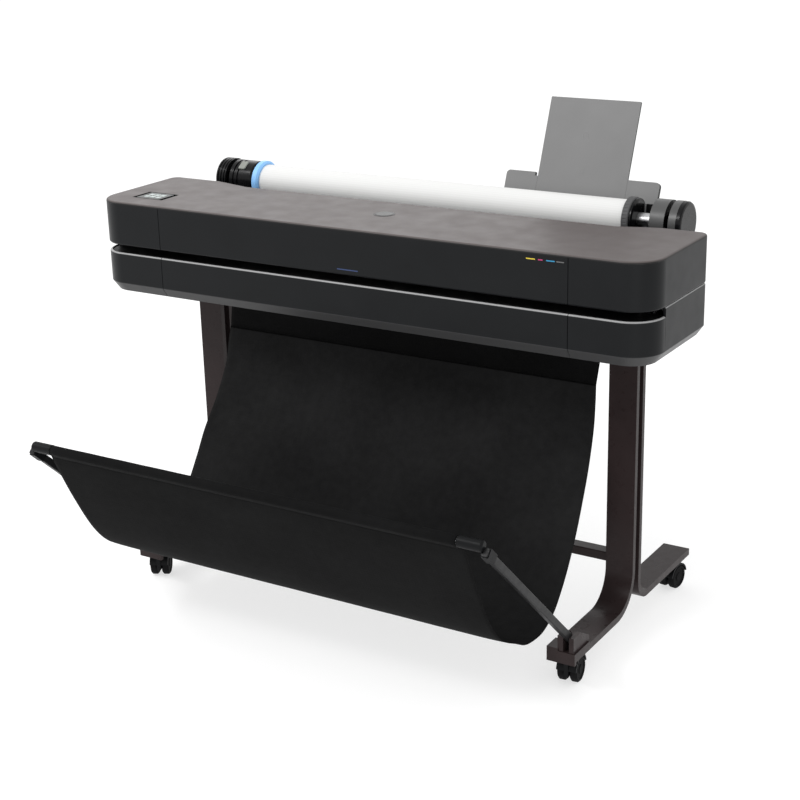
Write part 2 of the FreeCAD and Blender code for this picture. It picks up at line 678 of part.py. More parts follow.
def fork_brackets():
    """Forks on the front feet that hold the bin arms between two prongs."""
    inner, outer = "leg_centre - leg_width / 2", "leg_centre + leg_width / 2"
    foot_top = "foot_bottom + foot_thick"
    arm_left = "arm_x - arm_width / 2 - 0.5"
    arm_right = "arm_x + arm_width / 2 + 0.5"
    base = block("fork_base", inner, outer, "foot_front", 0, foot_top, f"{foot_top} + 4")
    nose = block("fork_nose", inner, outer, "foot_front - 8", "foot_front", "foot_bottom - 6",
                 f"{foot_top} + 4")
    step = block("fork_step", inner, f"{arm_left} - 10", "foot_front - 8", -28, foot_top,
                 f"{foot_top} + 10")
    y = behind
    prongs = []
    for label, x0, x1, back in (("fork_prong_inner", f"{arm_left} - 12", arm_left, -18),
                                ("fork_prong_outer", arm_right, f"{arm_right} + 10", 4)):
        prong = padded(label, "YZ_Plane", (
            (y("foot_front - 6"), f"{foot_top} + 1"), (y(back), f"{foot_top} + 1"),
            (y(back), f"{foot_top} + 16"), (y("foot_front + 26"), f"{foot_top} + 37"),
            (y("foot_front - 6"), f"{foot_top} + 37")), f"{x1} - ({x0})", middle=False)
        prong.setExpression("Placement.Base.x", fx(x0))
        prongs.append(prong)
    pin_bore = rod("fork_bore", "x", 4, "arm_width + 21", f"{arm_left} - 14", "bin_pivot_rear",
                   "bin_pivot_up")
    right = cut("fork_right", fuse("fork_whole", base, nose, step, *prongs), pin_bore)
    keep("bin_fork_brackets", group("bin_fork_brackets", right, mirrored("fork_left", right)))
    pin = rod("bin_pin", "x", 4, "arm_width + 17", f"{arm_left} - 10", "bin_pivot_rear",
              "bin_pivot_up")
    return [pin, mirrored("bin_pin_left", pin)]


def casters():
    """Twin-wheel casters. Each is built once under its stem and then swung to its heading."""
    stem = rod("stem", "z", 5, "foot_bottom - 50", 0, 0, 60)
    collar = rod("collar", "z", 14, 8, 0, 0, 56)
    shell = rod("hood_outer", "x", "wheel_radius + 4.5", 42, -21, "caster_trail", "wheel_radius")
    room = rod("hood_inner", "x", "wheel_radius + 1.2", 44, -22, "caster_trail", "wheel_radius")
    low = block("hood_low", -30, 30, -40, 90, -10, "wheel_radius + 6")
    web = block("hood_web", -4.6, 4.6, -8, "caster_trail + 6", "wheel_radius - 6", 57)
    bore = rod("axle_bore", "x", "4 + running", 20, -10, "caster_trail", "wheel_radius")
    for part in (stem, collar, shell, room, low, web, bore):
        part.setExpression("Placement.Base.y", fx(f"{part.Placement.Base.y}"))
    locals_y = ((stem, 0), (collar, 0), (shell, "caster_trail"), (room, "caster_trail"),
                (low, -40), (web, -8), (bore, "caster_trail"))
    for part, y in locals_y:
        part.setExpression("Placement.Base.y", fx(y))
    hood = cut("caster_hood", fuse("hood_whole", cut("hood_shell", shell, room, low), web, stem,
                                   collar), bore)
    wheel = turned("caster_wheels", (
        (-21, 0), (-21, 9), (-19, 11), (-19, "wheel_radius - 8"), (-21, "wheel_radius - 6"),
        (-21, "wheel_radius - 3"), (-18, "wheel_radius"), (-8, "wheel_radius"),
        (-5, "wheel_radius - 3"), (-5, 4), (5, 4), (5, "wheel_radius - 3"),
        (8, "wheel_radius"), (18, "wheel_radius"), (21, "wheel_radius - 3"),
        (21, "wheel_radius - 6"), (19, "wheel_radius - 8"), (19, 11), (21, 9), (21, 0)))
    wheel.setExpression("Placement.Base.y", fx("caster_trail"))
    wheel.setExpression("Placement.Base.z", fx("wheel_radius"))
    for label, x, y, heading in (
            ("front_left", "-caster_x", "front_stem", 28), ("front_right", "caster_x",
                                                            "front_stem", 6),
            ("rear_left", "-caster_x", "rear_stem", 12), ("rear_right", "caster_x",
                                                          "rear_stem", -8)):
        turn = Rotation(Vector(0, 0, 1), heading)
        for part, solid in (("caster_hood", hood), ("caster_wheels", wheel)):
            piece = copied(f"{label}_{part}", solid, Placement(Vector(), turn))
            keep(f"{label}_{part}", place(piece, x, y, 0, turn))


# Lines that the bin's fabric follows, as distances behind the front face and heights.
BACK_LINE = ((228, 614), (216, 585), (207, 545), (194, 490), (178, 435), (153, 385), (108, 320),
             (70, 248), (34, 186), (-2, 148), (-45, 125), (-107, 118))
FRONT_LINE = ((-109, 118), (-150, 126), (-200, 152), (-246, 184), (-287, 232), (-328, 302),
              (-369, 388), (-382, 421))


def catch_bin():
    half = "arm_x - arm_width / 2"
    tube = rod("bar_tube", "x", "bar_radius", f"2 * ({half})", f"-({half})", "bar_rear", "bar_up")
    bore = rod("bar_bore", "x", "bar_radius - 1.5", f"2 * ({half}) - 8", f"4 - ({half})",
               "bar_rear", "bar_up")
    keep("bin_bar", cut("bin_bar", tube, bore))

    rise = num("bar_up - 10 - bin_pivot_up")
    run = num("bar_rear - bin_pivot_rear")
    slope = math.degrees(math.atan2(rise, run))
    lie = Rotation(Vector(1, 0, 0), slope)

    def along_arm(label, width, start, end, depth):
        beam = doc.addObject("Part::Box", label)
        beam.setExpression("Length", fx(width))
        beam.setExpression("Width", fx(f"({end}) - ({start})"))
        beam.setExpression("Height", fx(depth))
        offset = lie.multVec(Vector(0, num(start), -num(depth) / 2))
        beam.Placement = Placement(Vector(
            num(f"arm_x - ({width}) / 2"), num(behind("bin_pivot_rear")) + offset.y,
            num("bin_pivot_up") + offset.z), lie)
        return beam

    length = math.hypot(rise, run)
    beam = along_arm("arm_beam", "arm_width", 0, length + 3, "arm_depth")
    eye = rod("arm_eye", "x", "arm_depth / 2", "arm_width", "arm_x - arm_width / 2",
              "bin_pivot_rear", "bin_pivot_up")
    eye_bore = rod("arm_eye_bore", "x", "4 + running", "arm_width + 2",
                   "arm_x - arm_width / 2 - 1", "bin_pivot_rear", "bin_pivot_up")
    arm_solid = cut("arm_solid", fuse("arm_whole", beam, eye), eye_bore)
    eased_arm = eased("arm_eased", arm_solid, 2.5, lambda edge: (
        edge.BoundBox.XLength < 0.01 and edge.BoundBox.DiagonalLength > length / 2))
    tip = f"{half} + 3"
    sleeve = eased("elbow_sleeve", rod("elbow_blank", "x", "bar_radius + 2", f"{tip} - 474",
                                       474, "bar_rear", "bar_up"), 4.5,
                   lambda edge: near(edge.BoundBox.XMin, tip))
    socket = along_arm("elbow_socket", "arm_width + 3", length - 32, length - 2, "arm_depth + 3")
    bar_room = rod("elbow_bore", "x", "bar_radius", f"{half} - 470", 470, "bar_rear", "bar_up")
    far_room = rod("elbow_room", "x", "bar_radius + 2.2", f"{tip} + 0.2 - 510", 510,
                   "bar_rear", "bar_up")
    arm = cut("arm_clear", eased_arm, far_room)
    elbow = cut("elbow", fuse("elbow_whole", sleeve, socket), bar_room, arm)
    keep("bin_arms", group("bin_arms", arm, mirrored("arm_left", arm)))
    keep("bin_elbows", group("bin_elbows", elbow, mirrored("elbow_left", elbow)))

    keep("bin_rear_rod", rod("bin_rear_rod", "x", 8, 1004, -502, 225, 625))
    thick, wide = num("fabric_thick"), num("fabric_half")
    keep("bin_fabric_back", ribbon("bin_fabric_back", BACK_LINE, thick, wide))
    keep("bin_fabric_front", ribbon("bin_fabric_front", FRONT_LINE, thick, wide))


# ---------------------------------------------------------------- inside the casings

def frames_and_platen():
    gear_side_hole = rod("pinion_hole", "x", 5, 20, 590, "roller_rear + 45.2", "roller_up")
    shaft_bore = rod("roller_bore", "x", "6 + running", 1400, -700, "roller_rear", "roller_up")
    rod_bore = rod("rod_bore", "x", "rod_radius", 1400, -700, "rod_rear", "rod_up")
    sides = []
    for x in (-603, 600):
        plate = block("side_plate", x, f"{x} + 3", 84, 245, "body_bottom + 3", 838)
        sides.append(cut("side_frame", plate, shaft_bore, rod_bore, gear_side_hole))
    keep("side_frames", group("side_frames", *sides))

    plan = casing("platen_plan", "skin + 2", 742, 746)
    zone = block("platen_zone", "-body_width", "body_width", 0, 148, 740, 750)
    station_room = block("station_room", 482, 700, 83, 200, 730, 760)
    frame_room = block("frame_room", -606, -597, 83, 200, 730, 760)
    ribs = [block("platen_rib", f"{x} - 3", f"{x} + 3", 20, 146, 724, 742)
            for x in range(-560, 480, 104)]
    keep("platen", cut("platen", fuse("platen_whole", common("platen_plate", plan, zone), *ribs),
                       station_room, frame_room))


def paper_drive():
    shaft = turned("roller_shaft", (
        (-607, 0), (-607, 6), (-590, 6), (-590, "roller_radius"), (590, "roller_radius"),
        (590, 6), (616, 6), (616, 0)))
    place(shaft, 0, "roller_rear", "roller_up")
    big = gear("roller_gear", 1, 72, 8, 6)
    place(big, 606, "roller_rear", "roller_up")
    keep("drive_roller", fuse("drive_roller", shaft, big))
    small = gear("pinion_gear", 1, 18, 8, 3)
    # Turned by half a tooth so that a space of the pinion meets a tooth of the roller's gear.
    small.Placement = Placement(Vector(606, num(behind("roller_rear + 45.2")), num("roller_up")),
                                Rotation(Vector(1, 0, 0), 10))
    stub = rod("pinion_shaft", "x", 3, 34, 580, "roller_rear + 45.2", "roller_up")
    keep("motor_pinion", fuse("motor_pinion", small, stub))

    feed = rod("feed_motor_can", "x", 20, 52, 547, "roller_rear + 45.2", "roller_up")
    feed_bore = rod("feed_motor_bore", "x", "3 + running", 40, 579, "roller_rear + 45.2",
                    "roller_up")
    belt = rod("belt_motor_can", "y", 18, 52, "-pulley_x", 176, "pulley_up")
    belt_bore = rod("belt_motor_bore", "y", "3 + running", 24, "-pulley_x", 175, "pulley_up")
    keep("drive_motors", group("drive_motors", cut("feed_motor", feed, feed_bore),
                               cut("belt_motor", belt, belt_bore)))

    count, pitch = 9, 124
    corners = [(-560, 0), (-560, 3)]
    for k in range(count):
        start = -552 + k * pitch
        corners += [(start, 3), (start, "pinch_radius"), (start + 40, "pinch_radius"),
                    (start + 40, 3)]
    corners += [(486, 3), (486, 0)]
    pinch = turned("pinch_rollers", tuple(corners))
    keep("pinch_rollers", place(pinch, 0, "roller_rear", "pinch_up"))

    beam = block("beam_outer", -555, 597, 190, 226, 775, 826)
    hollow = block("beam_hollow", -560, 592, 193, 223, 778, 823)
    arms, bores = [], []
    for k in range(count - 1):
        x = -552 + k * pitch + 80
        arms.append(block("pinch_arm", x, f"{x} + 6", "roller_rear - 7", 191, 750, 788))
        bores.append(rod("pinch_bore", "x", "3 + running", 8, f"{x} - 1", "roller_rear",
                         "pinch_up"))
    bores.append(rod("idler_bore", "y", "4 + running", 10, "pulley_x", 188, "pulley_up"))
    keep("chassis_beam", cut("chassis_beam", fuse("beam_whole", cut("beam_tube", beam, hollow),
                                                  *arms), *bores))


def carriage_drive():
    keep("carriage_rod", rod("carriage_rod", "x", "rod_radius", 1206, -603, "rod_rear", "rod_up"))
    shell = eased("carriage_shell", block("carriage_block", 500, 592, 72, 150, 752, 846), 5,
                  flat_at(846))
    clamp = block("belt_clamp", 530, 562, 149, 168, 791, 800)
    slit = block("belt_slit", 529, 563, 152, 170, "pulley_up - 11.5", "pulley_up - 8.3")
    bore = rod("carriage_bore", "x", "rod_radius + running", 100, 495, "rod_rear", "rod_up")
    keep("print_carriage", cut("print_carriage", fuse("carriage_whole", shell, clamp), bore,
                               slit))

    def loop(label, radius):
        return fuse(label,
                    rod(label + "_left", "y", radius, 8, "-pulley_x", 156, "pulley_up"),
                    rod(label + "_right", "y", radius, 8, "pulley_x", 156, "pulley_up"),
                    block(label + "_run", "-pulley_x", "pulley_x", 156, 164,
                          f"pulley_up - ({radius})", f"pulley_up + ({radius})"))

    keep("carriage_belt", cut("carriage_belt", loop("belt_outside", "pulley_radius + 1.5"),
                              loop("belt_inside", "pulley_radius + 0.3")))
    for label, x, shaft_radius, shaft_end in (("drive_pulley", "-pulley_x", 3, 198),
                                              ("idler_pulley", "pulley_x", 4, 193)):
        wheel = rod(label + "_rim", "y", "pulley_radius", 10, x, 155, "pulley_up")
        flanges = [rod(label + "_flange", "y", "pulley_radius + 2.5", 1, x, y, "pulley_up")
                   for y in (154.6, 164.4)]
        axle = rod(label + "_axle", "y", shaft_radius, f"{shaft_end} - 155", x, 155, "pulley_up")
        keep(label, fuse(label, wheel, *flanges, axle))


def supplies_and_electronics():
    cartridges = []
    for k in range(4):
        x = 500 + 27 * k
        case = eased("cartridge_case", block("cartridge", x, f"{x} + 24", 22, 78,
                                             "body_bottom + 12", 738), 3, upright)
        grip = block("cartridge_grip", f"{x} + 6", f"{x} + 18", 19, 24, 700, 706)
        cartridges.append(fuse("cartridge_whole", case, grip))
    keep("ink_cartridges", group("ink_cartridges", *cartridges))
    station = block("station_box", 490, 594, 86, 146, 700, 745)
    wells = [block("station_well", x, f"{x} + 36", 96, 136, 738, 746) for x in (498, 550)]
    keep("service_station", cut("service_station", station, *wells))

    low = "port_bottom"
    board = block("board", -560, -400, 100, 270, low, f"{low} + 2")
    network = block("network_socket", -540, -522, 262, 281, f"{low} + 2", f"{low} + 16")
    network_hole = block("network_cavity", -537, -525, 268, 282, f"{low} + 4.5", f"{low} + 13.5")
    data = block("data_socket", -510, -497, 264, 281, f"{low} + 2", f"{low} + 14")
    data_hole = block("data_cavity", -508, -499, 270, 282, f"{low} + 4", f"{low} + 12")
    sink = block("heat_sink", -480, -440, 150, 190, f"{low} + 2", f"{low} + 16")
    pillars = [block("board_pillar", x, f"{x} + 8", y, f"{y} + 8", "body_bottom + 3", low)
               for x in (-556, -412) for y in (104, 250)]
    keep("main_board", cut("main_board", fuse("board_whole", board, network, data, sink,
                                              *pillars), network_hole, data_hole))
    supply = block("supply_box", -380, -180, 100, 230, "body_bottom + 3", 715)
    keep("power_supply", eased("power_supply", supply, 3, upright))
    inlet = block("inlet_body", -361, -329, 250, 281, 685, 709)
    flange = block("inlet_flange", -368, -322, 281, 283, 681, 713)
    recess = block("inlet_recess", -358, -332, 266, 284, 688, 706)
    blades = [block("inlet_blade", f"{x} - 1", f"{x} + 1", 264, 279, z, f"{z} + 4")
              for x, z in ((-352, 692), (-345, 698), (-338, 692))]
    keep("power_inlet", fuse("power_inlet", cut("inlet_shell", fuse("inlet_whole", inlet, flange),
                                                recess), *blades))


# ---------------------------------------------------------------- the whole plotter

pins = lower_casing() + lid()
rear_cover()
roll_and_spindle()
feeder()
stand()
pins += fork_brackets()
keep("hinge_pins", group("hinge_pins", *pins))
casters()
catch_bin()
frames_and_platen()
paper_drive()
carriage_drive()
supplies_and_electronics()
doc.recompute()

for obj in doc.Objects:
    if "Invalid" in obj.State or "Error" in obj.State:
        raise RuntimeError(f"{obj.Label} did not compute: {obj.State}")
for node in NODES:
    if node.Shape.isNull() or not node.Shape.isValid() or not node.Shape.Solids:
        raise RuntimeError(f"{node.Label} has no valid solid")
for node in NODES:
    node.Shape.exportStep(f"parts/{node.Label}.step")
    box = node.Shape.BoundBox
    print(f"{node.Label:26s} {len(node.Shape.Solids)} solids, X {box.XMin:.1f} {box.XMax:.1f}, "
          f"Y {box.YMin:.1f} {box.YMax:.1f}, Z {box.ZMin:.1f} {box.ZMax:.1f}")
print(len(NODES), "pieces")
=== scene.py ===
import math

import bmesh
import bpy
import numpy as np
from mathutils import Matrix, Vector


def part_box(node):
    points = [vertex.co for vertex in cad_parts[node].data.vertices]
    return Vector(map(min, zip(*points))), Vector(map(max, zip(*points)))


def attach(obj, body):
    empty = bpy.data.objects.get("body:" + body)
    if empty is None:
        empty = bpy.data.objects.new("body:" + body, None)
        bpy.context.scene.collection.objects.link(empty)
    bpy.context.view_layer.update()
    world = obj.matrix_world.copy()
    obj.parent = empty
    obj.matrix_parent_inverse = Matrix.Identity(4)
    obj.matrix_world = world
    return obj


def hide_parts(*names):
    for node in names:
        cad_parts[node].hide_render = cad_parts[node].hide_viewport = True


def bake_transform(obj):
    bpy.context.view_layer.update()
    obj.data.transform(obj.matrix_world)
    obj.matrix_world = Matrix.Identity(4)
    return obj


# Looks of a roll-fed large format plotter. Metres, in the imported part's frame.

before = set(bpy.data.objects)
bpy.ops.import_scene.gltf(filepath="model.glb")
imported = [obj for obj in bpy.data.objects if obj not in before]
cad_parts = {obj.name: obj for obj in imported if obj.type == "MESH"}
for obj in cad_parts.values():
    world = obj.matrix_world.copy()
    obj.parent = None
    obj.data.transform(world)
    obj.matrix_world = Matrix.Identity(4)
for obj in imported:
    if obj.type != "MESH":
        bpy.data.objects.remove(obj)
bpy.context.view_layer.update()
FRONT = -0.0745          # Y of the casings' front face
TILT = math.radians(22)  # lean of the sheet feeder
LID_HEIGHT = 0.862
BEVEL_TOP = 0.680        # where the bevel under the casings ends
SPINDLE_BACK, SPINDLE_HEIGHT = 0.398, 0.845  # behind the front face, above the floor
HUB_RADIUS, SHAFT_RADIUS = 0.0463, 0.0143
scene = bpy.context.scene


# ---------------------------------------------------------------- materials

def material(name, colour, rough, specular=0.5, metal=0.0):
    """A principled material; returns it with its node tree and shader."""
    mat = bpy.data.materials.new(name)
    mat.use_nodes = True
    tree = mat.node_tree
    bsdf = tree.nodes["Principled BSDF"]
    bsdf.inputs["Base Color"].default_value = (*colour, 1)
    bsdf.inputs["Roughness"].default_value = rough
    bsdf.inputs["Specular IOR Level"].default_value = specular
    bsdf.inputs["Metallic"].default_value = metal
    return mat, tree, bsdf


def coordinates(tree, source="Object", stretch=(1, 1, 1)):
    place = tree.nodes.new("ShaderNodeTexCoord")
    mapping = tree.nodes.new("ShaderNodeMapping")
    mapping.inputs["Scale"].default_value = stretch
    tree.links.new(place.outputs[source], mapping.inputs["Vector"])
    return mapping.outputs["Vector"]


def noise(tree, scale, detail=2.0, source="Object", stretch=(1, 1, 1)):
    tex = tree.nodes.new("ShaderNodeTexNoise")
    tex.inputs["Scale"].default_value = scale
    tex.inputs["Detail"].default_value = detail
    tree.links.new(coordinates(tree, source, stretch), tex.inputs["Vector"])
    return tex.outputs["Fac"]


def ramp(tree, value, low, high, dark, light):
    """Maps value from low..high to a mix of two colours."""
    node = tree.nodes.new("ShaderNodeValToRGB")
    node.color_ramp.elements[0].position = low
    node.color_ramp.elements[1].position = high
    node.color_ramp.elements[0].color = (*dark, 1)
    node.color_ramp.elements[1].color = (*light, 1)
    tree.links.new(value, node.inputs["Fac"])
    return node.outputs["Color"]


def spread(tree, value, low, high):
    """Maps a noise of about 0.3..0.7 to the range low..high."""
    node = tree.nodes.new("ShaderNodeMapRange")
    node.inputs["From Min"].default_value = 0.3
    node.inputs["From Max"].default_value = 0.7
    node.inputs["To Min"].default_value = low
    node.inputs["To Max"].default_value = high
    tree.links.new(value, node.inputs["Value"])
    return node.outputs["Result"]


def bump(tree, bsdf, height, strength, distance):
    node = tree.nodes.new("ShaderNodeBump")
    node.inputs["Strength"].default_value = strength
    node.inputs["Distance"].default_value = distance
    tree.links.new(height, node.inputs["Height"])
    tree.links.new(node.outputs["Normal"], bsdf.inputs["Normal"])


def scaled(colour, factor):
    return tuple(min(c * factor, 1) for c in colour)


def moulded(name, colour, rough, specular=0.5, grain=1400, depth=0.00006, vary=0.12):
    """Moulded plastic: fine spark-eroded grain, slightly uneven gloss and tone."""
    mat, tree, bsdf = material(name, colour, rough, specular)
    tone = noise(tree, 9, 4)
    tree.links.new(ramp(tree, tone, 0.3, 0.7, scaled(colour, 1 - vary), scaled(colour, 1 + vary)),
                   bsdf.inputs["Base Color"])
    tree.links.new(spread(tree, noise(tree, 23, 3), rough - 0.04, rough + 0.05),
                   bsdf.inputs["Roughness"])
    bump(tree, bsdf, noise(tree, grain, 2), 0.5, depth)
    return mat


def powder_coat(name, colour, rough, specular=0.5):
    """Powder-coated steel: a soft orange peel and a few worn, lighter patches."""
    mat, tree, bsdf = material(name, colour, rough, specular)
    wear = noise(tree, 35, 8)
    tree.links.new(ramp(tree, wear, 0.35, 0.8, colour, scaled(colour, 1.15)),
                   bsdf.inputs["Base Color"])
    tree.links.new(spread(tree, noise(tree, 60, 3), rough - 0.05, rough + 0.08),
                   bsdf.inputs["Roughness"])
    bump(tree, bsdf, noise(tree, 420, 3), 0.35, 0.00012)
    return mat


def brushed(name, colour, rough, along=(4, 260, 260)):
    """Machined or drawn metal with fine lines along X."""
    mat, tree, bsdf = material(name, colour, rough, metal=1.0)
    lines = noise(tree, 6, 6, stretch=along)
    tree.links.new(ramp(tree, lines, 0.3, 0.7, scaled(colour, 0.8), colour),
                   bsdf.inputs["Base Color"])
    tree.links.new(spread(tree, lines, rough - 0.06, rough + 0.08), bsdf.inputs["Roughness"])
    bump(tree, bsdf, lines, 0.15, 0.00005)
    return mat


def woven(name, colour, light, pitch=900):
    """Plain-weave nylon along the cloth's own width and length, with painted shade darkening it
    towards its front.
    """
    mat, tree, bsdf = material(name, colour, 0.85, 0.08)
    cloud = noise(tree, 5, 6, "UV")
    speck = noise(tree, 55, 3, "UV")
    both = tree.nodes.new("ShaderNodeMath")
    both.operation = "MULTIPLY_ADD"
    both.inputs[1].default_value = 0.45
    tree.links.new(speck, both.inputs[0])
    tree.links.new(cloud, both.inputs[2])
    cloth_tone = ramp(tree, both.outputs[0], 0.5, 0.98, colour, light)
    along = tree.nodes.new("ShaderNodeSeparateXYZ")
    tree.links.new(coordinates(tree, "UV"), along.inputs[0])
    # Painted shade: the colour is darkened along the cloth's length towards its front panel.
    front_painted_shade = ramp(tree, along.outputs["Y"], 0.05, 0.75, (1, 1, 1), (0.42, 0.42, 0.42))
    mix = tree.nodes.new("ShaderNodeMix")
    mix.data_type = "RGBA"
    mix.blend_type = "MULTIPLY"
    mix.inputs["Factor"].default_value = 1.0
    tree.links.new(cloth_tone, mix.inputs["A"])
    tree.links.new(front_painted_shade, mix.inputs["B"])
    tree.links.new(mix.outputs["Result"], bsdf.inputs["Base Color"])
    threads = []
    for direction in ("X", "Y"):
        wave = tree.nodes.new("ShaderNodeTexWave")
        wave.bands_direction = direction
        wave.inputs["Scale"].default_value = pitch / 20
        wave.inputs["Distortion"].default_value = 0.4
        tree.links.new(coordinates(tree, "UV"), wave.inputs["Vector"])
        threads.append(wave.outputs["Fac"])
    weave = tree.nodes.new("ShaderNodeMath")
    weave.operation = "MAXIMUM"
    tree.links.new(threads[0], weave.inputs[0])
    tree.links.new(threads[1], weave.inputs[1])
    bump(tree, bsdf, weave.outputs[0], 0.4, 0.0003)
    return mat


def paper(name):
    """White paper; its ends show the turns of the roll as fine rings about the spindle."""
    mat, tree, bsdf = material(name, (0.73, 0.73, 0.73), 0.62, 0.2)
    spot = tree.nodes.new("ShaderNodeTexCoord")
    low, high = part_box("paper_roll")
    middle = (Vector(low) + Vector(high)) / 2
    shift = tree.nodes.new("ShaderNodeVectorMath")
    shift.operation = "SUBTRACT"
    shift.inputs[1].default_value = middle
    flat = tree.nodes.new("ShaderNodeVectorMath")
    flat.operation = "MULTIPLY"
    flat.inputs[1].default_value = (0, 1, 1)
    length = tree.nodes.new("ShaderNodeVectorMath")
    length.operation = "LENGTH"
    turns = tree.nodes.new("ShaderNodeMath")
    turns.operation = "MULTIPLY"
    turns.inputs[1].default_value = 9000
    wave = tree.nodes.new("ShaderNodeMath")
    wave.operation = "SINE"
    tree.links.new(spot.outputs["Object"], shift.inputs[0])
    tree.links.new(shift.outputs[0], flat.inputs[0])
    tree.links.new(flat.outputs[0], length.inputs[0])
    tree.links.new(length.outputs["Value"], turns.inputs[0])
    tree.links.new(turns.outputs[0], wave.inputs[0])
    tree.links.new(ramp(tree, wave.outputs[0], 0.0, 1.0, (0.73, 0.73, 0.73), (0.66, 0.66, 0.65)),
                   bsdf.inputs["Base Color"])
    bump(tree, bsdf, noise(tree, 700, 3), 0.15, 0.00008)
    return mat


def facing(tree, outward, low, high):
    """0 where a surface faces away from the direction, 1 where it faces along it."""
    place = tree.nodes.new("ShaderNodeTexCoord")
    dot = tree.nodes.new("ShaderNodeVectorMath")
    dot.operation = "DOT_PRODUCT"
    dot.inputs[1].default_value = outward
    tree.links.new(place.outputs["Normal"], dot.inputs[0])
    return ramp(tree, dot.outputs["Value"], low, high, (0, 0, 0), (1, 1, 1))


def casing_plastic(name, colour, rough, specular):
    """Casing plastic with painted light: a painted reflection of the floor lightens the bevel below,
    and a painted highlight lightens the upward-facing rounded top edges.
    """
    mat, tree, bsdf = material(name, colour, rough, specular)
    tone = noise(tree, 9, 4)
    plain = ramp(tree, tone, 0.3, 0.7, scaled(colour, 0.9), scaled(colour, 1.1))
    height = tree.nodes.new("ShaderNodeSeparateXYZ")
    tree.links.new(coordinates(tree), height.inputs[0])
    # Below BEVEL_TOP the bevel takes a lighter grey: painted reflection of the bright floor under
    # the casings.
    low = tree.nodes.new("ShaderNodeMapRange")
    low.inputs["From Min"].default_value = BEVEL_TOP + 0.0015
    low.inputs["From Max"].default_value = BEVEL_TOP
    tree.links.new(height.outputs["Z"], low.inputs["Value"])
    mix = tree.nodes.new("ShaderNodeMix")
    mix.data_type = "RGBA"
    mix.inputs["B"].default_value = (0.050, 0.050, 0.051, 1)
    tree.links.new(low.outputs["Result"], mix.inputs["Factor"])
    tree.links.new(plain, mix.inputs["A"])
    # Upward-facing faces, such as the rounded top edges, take a light grey: a painted highlight.
    rim = tree.nodes.new("ShaderNodeMix")
    rim.data_type = "RGBA"
    rim.inputs["B"].default_value = (0.34, 0.34, 0.342, 1)
    tree.links.new(facing(tree, (0, 0, 1), 0.3, 0.7), rim.inputs["Factor"])
    tree.links.new(mix.outputs["Result"], rim.inputs["A"])
    tree.links.new(rim.outputs["Result"], bsdf.inputs["Base Color"])
    tree.links.new(spread(tree, noise(tree, 23, 3), rough - 0.03, rough + 0.04),
                   bsdf.inputs["Roughness"])
    bump(tree, bsdf, noise(tree, 1400, 2), 0.4, 0.00005)
    return mat


def two_tone(name, face, edge, outward, reach, rough, specular):
    """Plastic with one colour where it faces outward and another on its edges."""
    mat, tree, bsdf = material(name, face, rough, specular)
    mix = tree.nodes.new("ShaderNodeMix")
    mix.data_type = "RGBA"
    mix.inputs["A"].default_value = (*edge, 1)
    tree.links.new(facing(tree, outward, *reach), mix.inputs["Factor"])
    tone = noise(tree, 9, 4)
    tree.links.new(ramp(tree, tone, 0.3, 0.7, scaled(face, 0.985), scaled(face, 1.015)),
                   mix.inputs["B"])
    tree.links.new(mix.outputs["Result"], bsdf.inputs["Base Color"])
    tree.links.new(spread(tree, noise(tree, 23, 3), rough - 0.04, rough + 0.05),
                   bsdf.inputs["Roughness"])
    bump(tree, bsdf, noise(tree, 1600, 2), 0.5, 0.00006)
    return mat


def glowing(name, colour, strength):
    mat, tree, bsdf = material(name, colour, 0.4)
    bsdf.inputs["Emission Color"].default_value = (*colour, 1)
    bsdf.inputs["Emission Strength"].default_value = strength
    tree.links.new(spread(tree, noise(tree, 300, 2), 0.35, 0.45), bsdf.inputs["Roughness"])
    return mat


CASING = casing_plastic("casing_black", (0.0066, 0.0072, 0.0080), 0.34, 0.13)
LID_TOP = two_tone("lid_taupe", (0.090, 0.077, 0.075), (0.011, 0.0105, 0.0105), (0, 0, 1),
                   (0.35, 0.8), 0.44, 0.2)
DARK = moulded("inner_dark_plastic", (0.007, 0.007, 0.0075), 0.5, 0.14)
PANEL = moulded("panel_black", (0.004, 0.0042, 0.0045), 0.5, 0.0, depth=0.00001, vary=0.05)
GLOSS = moulded("gloss_black", (0.004, 0.004, 0.0045), 0.26, 0.16, depth=0.00001, vary=0.05)
CASTER = moulded("caster_black", (0.005, 0.0053, 0.0058), 0.42, 0.1)
RUBBER = moulded("tread_rubber", (0.005, 0.005, 0.0054), 0.7, 0.08, grain=700, depth=0.0001)
FEEDER = two_tone("feeder_grey", (0.175, 0.175, 0.175), (0.005, 0.005, 0.005),
                  (0, -math.cos(TILT), math.sin(TILT)), (0.55, 0.8), 0.45, 0.2)
BLUE = moulded("flange_blue", (0.24, 0.50, 0.86), 0.4, 0.35, vary=0.04)
# Lighter grey for bands on the hubs: painted reflection standing in for the sheen on their glossy
# black faces.
HUB_SHEEN = moulded("hub_sheen_grey", (0.06, 0.06, 0.06), 0.35, 0.4)
LATCH = moulded("latch_grey", (0.23, 0.24, 0.22), 0.45, 0.25)
RING = moulded("ring_grey", (0.085, 0.085, 0.087), 0.5, 0.15)
STAND = powder_coat("stand_brown_black", (0.0235, 0.0165, 0.0165), 0.3, 0.12)
ARM = powder_coat("arm_dark_grey", (0.0105, 0.0105, 0.011), 0.36, 0.14)
STEEL = brushed("drawn_steel", (0.56, 0.56, 0.57), 0.32)
ALUMINIUM = brushed("extruded_aluminium", (0.72, 0.72, 0.73), 0.36)
CIRCUIT = moulded("circuit_green", (0.02, 0.12, 0.05), 0.4, 0.5, grain=500, depth=0.0002)
PAPER = paper("roll_paper")
CLOTH = woven("bin_cloth", (0.0082, 0.0082, 0.0084), (0.0165, 0.0165, 0.0168))
HEM = woven("bin_hem", (0.0028, 0.0028, 0.0029), (0.0055, 0.0055, 0.0057))
THREAD = woven("stitch_thread", (0.012, 0.012, 0.0125), (0.02, 0.02, 0.021))

